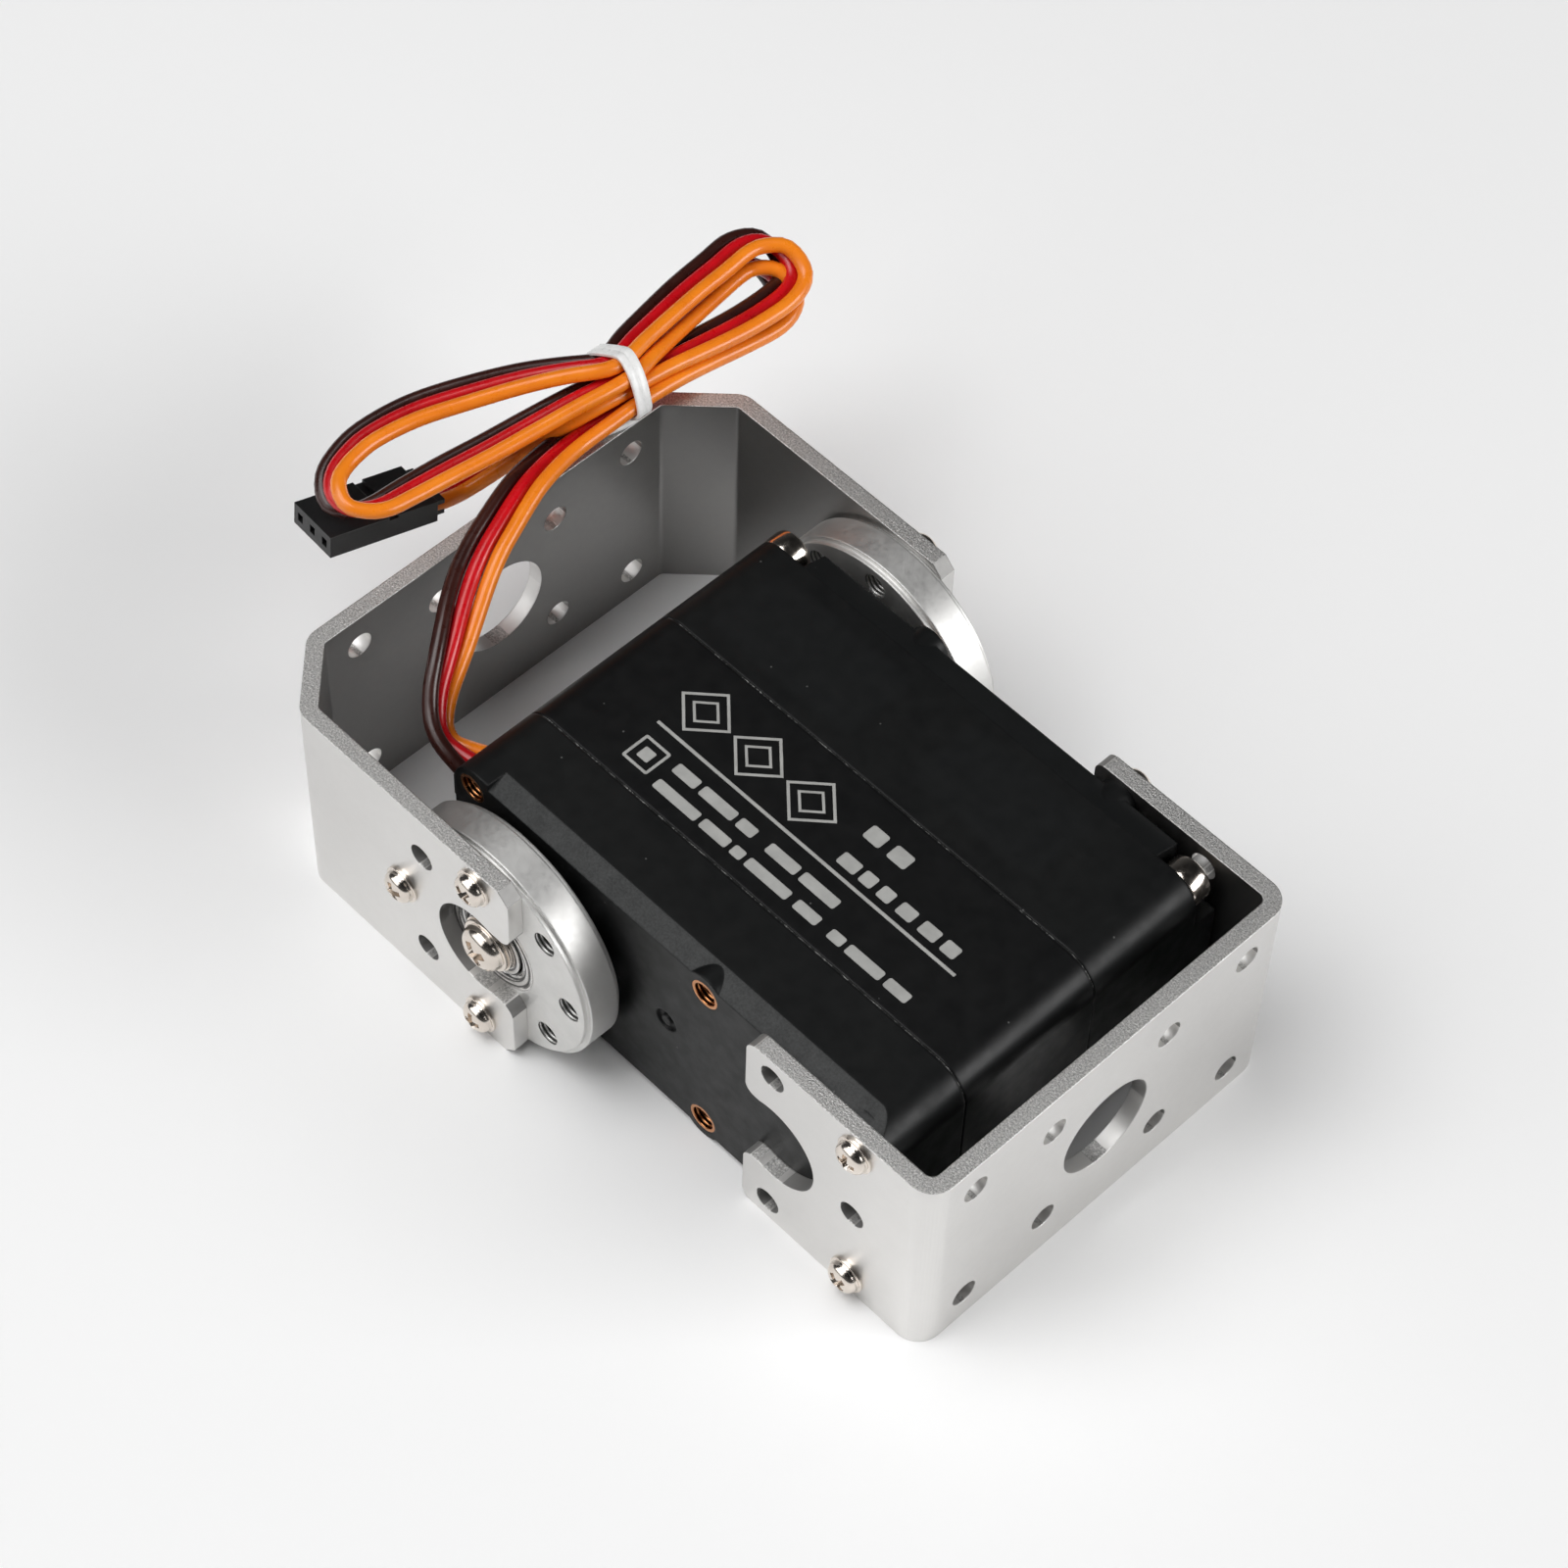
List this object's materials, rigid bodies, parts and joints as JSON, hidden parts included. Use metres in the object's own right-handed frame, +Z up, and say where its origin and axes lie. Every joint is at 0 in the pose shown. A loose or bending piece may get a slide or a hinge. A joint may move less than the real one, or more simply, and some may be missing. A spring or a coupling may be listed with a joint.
{
  "type": "powered tilt mount",
  "caption": "Servo-driven tilt mount: a geared motor case held in one folded U bracket swings a longer cut-corner U bracket on a horn disc and an idler bearing.",
  "frame": {"origin": "middle of the footprint, on the plane that both brackets stand on", "axes": "+X from the swinging long bracket to the fixed short bracket, +Y along the output shaft towards its driven end, +Z up"},
  "size_m": [0.1123, 0.0843, 0.0382],
  "materials": {
    "case_plastic": "fine moulded satin black",
    "case_metal": "black anodised, fine satin",
    "bracket_aluminium": "bead-blasted and clear anodised, sheared edges",
    "disc_aluminium": "turned and clear anodised",
    "nickel_screws": "bright nickel plate",
    "brass": "machined",
    "bronze": "sintered bronze",
    "steel": "machined steel",
    "bearing_steel": "ground bearing steel",
    "black_rubber": "moulded rubber",
    "motor_shell": "drawn steel",
    "copper_winding": "enamelled copper",
    "circuit_board": "green solder mask",
    "board_parts": "epoxy packages",
    "lead_dark": "silicone wire",
    "wire_brown": "glossy dark brown insulation",
    "wire_red": "glossy red insulation",
    "wire_orange": "glossy orange insulation",
    "tie_white": "white plastic",
    "plug_black": "black nylon"
  },
  "bodies": {
    "case": {"idler_cover": "case_plastic", "middle_case": "case_metal", "gear_case": "case_plastic", "idler_side_gasket": "black_rubber", "gear_side_gasket": "black_rubber", "case_screws": "nickel_screws", "idler_side_inserts": "brass", "output_side_inserts": "brass", "short_bracket": "bracket_aluminium", "short_bracket_screws": "nickel_screws", "idler_post": "steel", "idler_post_screw": "nickel_screws", "idler_post_washer": "nickel_screws", "idler_bearing_inner_race": "bearing_steel", "idler_bearing_balls": "bearing_steel", "output_bearing_balls": "bearing_steel", "output_bearing_outer_race": "bearing_steel", "output_seal": "black_rubber", "shaft_bush": "bronze", "gear_axles": "steel", "sensor_board": "circuit_board", "sensor_board_screws": "nickel_screws", "motor_can": "motor_shell", "motor_stator": "copper_winding", "motor_bearings": "bearing_steel", "motor_screws": "nickel_screws", "driver_board": "circuit_board", "driver_board_parts": "board_parts", "driver_board_screws": "nickel_screws", "phase_leads": "lead_dark", "cable_grommet": "black_rubber", "cable_brown": "wire_brown", "cable_red": "wire_red", "cable_orange": "wire_orange"},
    "tilt_arm": {"long_bracket": "bracket_aluminium", "output_disc": "disc_aluminium", "idler_disc": "disc_aluminium", "long_bracket_screws": "nickel_screws", "horn_screw": "nickel_screws", "output_shaft": "steel", "output_bearing_inner_race": "bearing_steel", "idler_bearing_outer_race": "bearing_steel", "encoder_magnet": "steel", "cable_hank": "wire_orange", "hank_tie": "tie_white", "cable_plug": "plug_black", "plug_contacts": "brass"},
    "third_stage": {"third_gear": "steel"},
    "second_stage": {"second_gear": "steel"},
    "first_stage": {"first_gear": "brass"},
    "motor": {"motor_rotor": "motor_shell", "motor_shaft": "steel", "motor_pinion": "brass"}
  },
  "joints": [
    {"name": "tilt", "type": "hinge", "parent": "case", "child": "tilt_arm", "pos_m": [-0.01275, 0, 0.015], "axis": [0, 1, 0], "range_deg": [-90, 90], "deforming": ["cable_brown", "cable_red", "cable_orange"]},
    {"name": "third_gear_spin", "type": "hinge", "parent": "case", "child": "third_stage", "pos_m": [0.00206, 0, 0.0184], "axis": [0, 1, 0], "range_deg": [-201, 201]},
    {"name": "second_gear_spin", "type": "hinge", "parent": "case", "child": "second_stage", "pos_m": [0.01212, 0, 0.0108], "axis": [0, 1, 0], "range_deg": [-396, 396]},
    {"name": "first_gear_spin", "type": "hinge", "parent": "case", "child": "first_stage", "pos_m": [0.01993, 0, 0.0191], "axis": [0, 1, 0], "range_deg": [-850, 850]},
    {"name": "motor_spin", "type": "hinge", "parent": "case", "child": "motor", "pos_m": [0.0281, 0, 0.0125], "axis": [0, 1, 0], "range_deg": [-2709, 2709]}
  ],
  "couplings": [
    {"joint": "third_gear_spin", "follows": "tilt", "ratio": -2.1667},
    {"joint": "second_gear_spin", "follows": "tilt", "ratio": 4.3333},
    {"joint": "first_gear_spin", "follows": "tilt", "ratio": -9.3889},
    {"joint": "motor_spin", "follows": "tilt", "ratio": 30.044}
  ]
}
